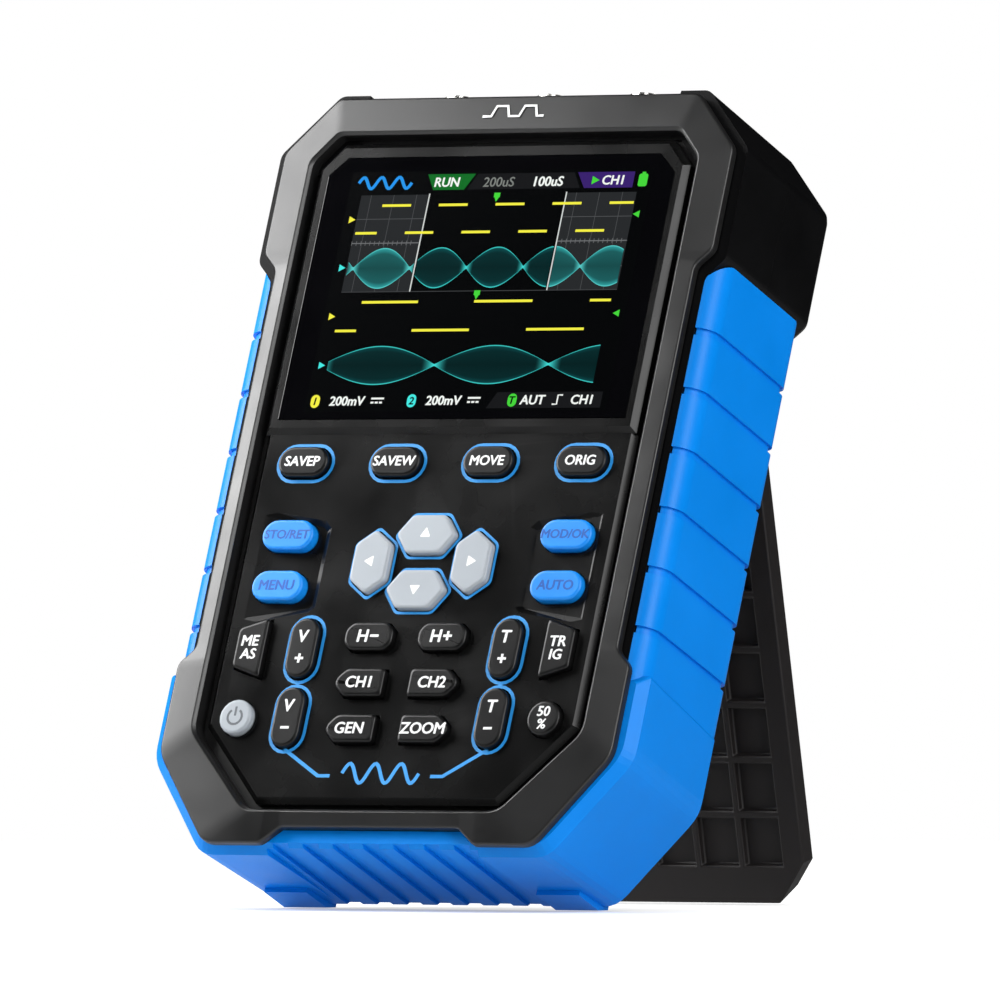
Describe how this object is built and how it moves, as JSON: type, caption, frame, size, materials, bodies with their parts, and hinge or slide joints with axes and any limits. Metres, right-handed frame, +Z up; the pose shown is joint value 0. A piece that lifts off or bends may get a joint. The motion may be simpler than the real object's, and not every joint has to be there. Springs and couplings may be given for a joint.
{
  "type": "handheld oscilloscope",
  "caption": "Handheld tablet oscilloscope leaning on its folding stand, with a screen, keypad, coaxial jacks on top and a blue grip sleeve.",
  "frame": {"origin": "centre of the footprint on the ground", "axes": "+Z up, +X to the right of the screen, front of the instrument towards -Y; the case leans back 22 degrees"},
  "size_m": [0.1126, 0.1144, 0.1663],
  "materials": {
    "bezel_plastic": "satin graphite, fine spark texture",
    "panel_plastic": "satin black",
    "housing_plastic": "fine matt texture, black",
    "glass_black": "polished, black printed back",
    "lcd_metal": "stamped frame",
    "flex_film": "polyimide film",
    "badge_foil": "dark anodised plate",
    "sleeve_rubber": "soft satin TPU, azure blue",
    "silicone": "translucent silicone",
    "board": "green solder mask",
    "battery_wrap": "laminated pouch",
    "shield_tin": "tinned sheet",
    "nickel": "nickel plated",
    "ptfe": "white insulator",
    "gold": "gold plated",
    "screw_black": "black oxide",
    "key_black": "satin black cap",
    "key_blue": "satin blue cap",
    "key_grey": "satin grey cap"
  },
  "bodies": {
    "case": {"front_bezel": "bezel_plastic", "badge_plate": "badge_foil", "front_panel": "panel_plastic", "screen_glass": "glass_black", "lcd_module": "lcd_metal", "lcd_ribbon": "flex_film", "middle_frame": "housing_plastic", "rear_cover": "housing_plastic", "grip_sleeve": "sleeve_rubber", "keypad_mat": "silicone", "keypad_board": "board", "main_board": "board", "battery_pack": "battery_wrap", "shield_can_ch1": "shield_tin", "shield_can_ch2": "shield_tin", "bnc_jack_ch1": "nickel", "bnc_jack_ch2": "nickel", "bnc_jack_gen": "nickel", "bnc_insulators": "ptfe", "bnc_contacts": "gold", "bnc_nuts": "nickel", "usb_c_port": "shield_tin", "buzzer": "panel_plastic", "case_screws": "screw_black", "board_screws": "shield_tin", "stand_pins": "shield_tin"},
    "stand": {"kickstand": "housing_plastic"},
    "key_save_picture_cap": {"key_save_picture": "key_black"},
    "key_save_wave_cap": {"key_save_wave": "key_black"},
    "key_move_cap": {"key_move": "key_black"},
    "key_origin_cap": {"key_origin": "key_black"},
    "key_store_cap": {"key_store": "key_blue"},
    "key_menu_cap": {"key_menu": "key_blue"},
    "key_ok_cap": {"key_ok": "key_blue"},
    "key_auto_cap": {"key_auto": "key_blue"},
    "key_left_cap": {"key_left": "key_grey"},
    "key_right_cap": {"key_right": "key_grey"},
    "key_up_cap": {"key_up": "key_grey"},
    "key_down_cap": {"key_down": "key_grey"},
    "key_measure_cap": {"key_measure": "key_black"},
    "key_trigger_cap": {"key_trigger": "key_black"},
    "key_v_up_cap": {"key_v_up": "key_black"},
    "key_v_down_cap": {"key_v_down": "key_black"},
    "key_t_up_cap": {"key_t_up": "key_black"},
    "key_t_down_cap": {"key_t_down": "key_black"},
    "key_h_minus_cap": {"key_h_minus": "key_black"},
    "key_h_plus_cap": {"key_h_plus": "key_black"},
    "key_ch1_cap": {"key_ch1": "key_black"},
    "key_ch2_cap": {"key_ch2": "key_black"},
    "key_gen_cap": {"key_gen": "key_black"},
    "key_zoom_cap": {"key_zoom": "key_black"},
    "key_power_cap": {"key_power": "key_grey"},
    "key_level_cap": {"key_level": "key_black"}
  },
  "joints": [
    {"name": "stand_hinge", "type": "hinge", "parent": "case", "child": "stand", "pos_m": [0, 0.02661, 0.12586], "axis": [1, 0, 0], "range_deg": [-34.9, 0]},
    {"name": "key_save_picture_press", "type": "slide", "parent": "case", "child": "key_save_picture_cap", "axis": [0, 0.9272, -0.3746], "range_m": [0, 0.0008], "stiffness_N_per_m": 400},
    {"name": "key_save_wave_press", "type": "slide", "parent": "case", "child": "key_save_wave_cap", "axis": [0, 0.9272, -0.3746], "range_m": [0, 0.0008], "stiffness_N_per_m": 400},
    {"name": "key_move_press", "type": "slide", "parent": "case", "child": "key_move_cap", "axis": [0, 0.9272, -0.3746], "range_m": [0, 0.0008], "stiffness_N_per_m": 400},
    {"name": "key_origin_press", "type": "slide", "parent": "case", "child": "key_origin_cap", "axis": [0, 0.9272, -0.3746], "range_m": [0, 0.0008], "stiffness_N_per_m": 400},
    {"name": "key_store_press", "type": "slide", "parent": "case", "child": "key_store_cap", "axis": [0, 0.9272, -0.3746], "range_m": [0, 0.0008], "stiffness_N_per_m": 400},
    {"name": "key_menu_press", "type": "slide", "parent": "case", "child": "key_menu_cap", "axis": [0, 0.9272, -0.3746], "range_m": [0, 0.0008], "stiffness_N_per_m": 400},
    {"name": "key_ok_press", "type": "slide", "parent": "case", "child": "key_ok_cap", "axis": [0, 0.9272, -0.3746], "range_m": [0, 0.0008], "stiffness_N_per_m": 400},
    {"name": "key_auto_press", "type": "slide", "parent": "case", "child": "key_auto_cap", "axis": [0, 0.9272, -0.3746], "range_m": [0, 0.0008], "stiffness_N_per_m": 400},
    {"name": "key_left_press", "type": "slide", "parent": "case", "child": "key_left_cap", "axis": [0, 0.9272, -0.3746], "range_m": [0, 0.0008], "stiffness_N_per_m": 400},
    {"name": "key_right_press", "type": "slide", "parent": "case", "child": "key_right_cap", "axis": [0, 0.9272, -0.3746], "range_m": [0, 0.0008], "stiffness_N_per_m": 400},
    {"name": "key_up_press", "type": "slide", "parent": "case", "child": "key_up_cap", "axis": [0, 0.9272, -0.3746], "range_m": [0, 0.0008], "stiffness_N_per_m": 400},
    {"name": "key_down_press", "type": "slide", "parent": "case", "child": "key_down_cap", "axis": [0, 0.9272, -0.3746], "range_m": [0, 0.0008], "stiffness_N_per_m": 400},
    {"name": "key_measure_press", "type": "slide", "parent": "case", "child": "key_measure_cap", "axis": [0, 0.9272, -0.3746], "range_m": [0, 0.0008], "stiffness_N_per_m": 400},
    {"name": "key_trigger_press", "type": "slide", "parent": "case", "child": "key_trigger_cap", "axis": [0, 0.9272, -0.3746], "range_m": [0, 0.0008], "stiffness_N_per_m": 400},
    {"name": "key_v_up_press", "type": "slide", "parent": "case", "child": "key_v_up_cap", "axis": [0, 0.9272, -0.3746], "range_m": [0, 0.0008], "stiffness_N_per_m": 400},
    {"name": "key_v_down_press", "type": "slide", "parent": "case", "child": "key_v_down_cap", "axis": [0, 0.9272, -0.3746], "range_m": [0, 0.0008], "stiffness_N_per_m": 400},
    {"name": "key_t_up_press", "type": "slide", "parent": "case", "child": "key_t_up_cap", "axis": [0, 0.9272, -0.3746], "range_m": [0, 0.0008], "stiffness_N_per_m": 400},
    {"name": "key_t_down_press", "type": "slide", "parent": "case", "child": "key_t_down_cap", "axis": [0, 0.9272, -0.3746], "range_m": [0, 0.0008], "stiffness_N_per_m": 400},
    {"name": "key_h_minus_press", "type": "slide", "parent": "case", "child": "key_h_minus_cap", "axis": [0, 0.9272, -0.3746], "range_m": [0, 0.0008], "stiffness_N_per_m": 400},
    {"name": "key_h_plus_press", "type": "slide", "parent": "case", "child": "key_h_plus_cap", "axis": [0, 0.9272, -0.3746], "range_m": [0, 0.0008], "stiffness_N_per_m": 400},
    {"name": "key_ch1_press", "type": "slide", "parent": "case", "child": "key_ch1_cap", "axis": [0, 0.9272, -0.3746], "range_m": [0, 0.0008], "stiffness_N_per_m": 400},
    {"name": "key_ch2_press", "type": "slide", "parent": "case", "child": "key_ch2_cap", "axis": [0, 0.9272, -0.3746], "range_m": [0, 0.0008], "stiffness_N_per_m": 400},
    {"name": "key_gen_press", "type": "slide", "parent": "case", "child": "key_gen_cap", "axis": [0, 0.9272, -0.3746], "range_m": [0, 0.0008], "stiffness_N_per_m": 400},
    {"name": "key_zoom_press", "type": "slide", "parent": "case", "child": "key_zoom_cap", "axis": [0, 0.9272, -0.3746], "range_m": [0, 0.0008], "stiffness_N_per_m": 400},
    {"name": "key_power_press", "type": "slide", "parent": "case", "child": "key_power_cap", "axis": [0, 0.9272, -0.3746], "range_m": [0, 0.0008], "stiffness_N_per_m": 400},
    {"name": "key_level_press", "type": "slide", "parent": "case", "child": "key_level_cap", "axis": [0, 0.9272, -0.3746], "range_m": [0, 0.0008], "stiffness_N_per_m": 400}
  ]
}
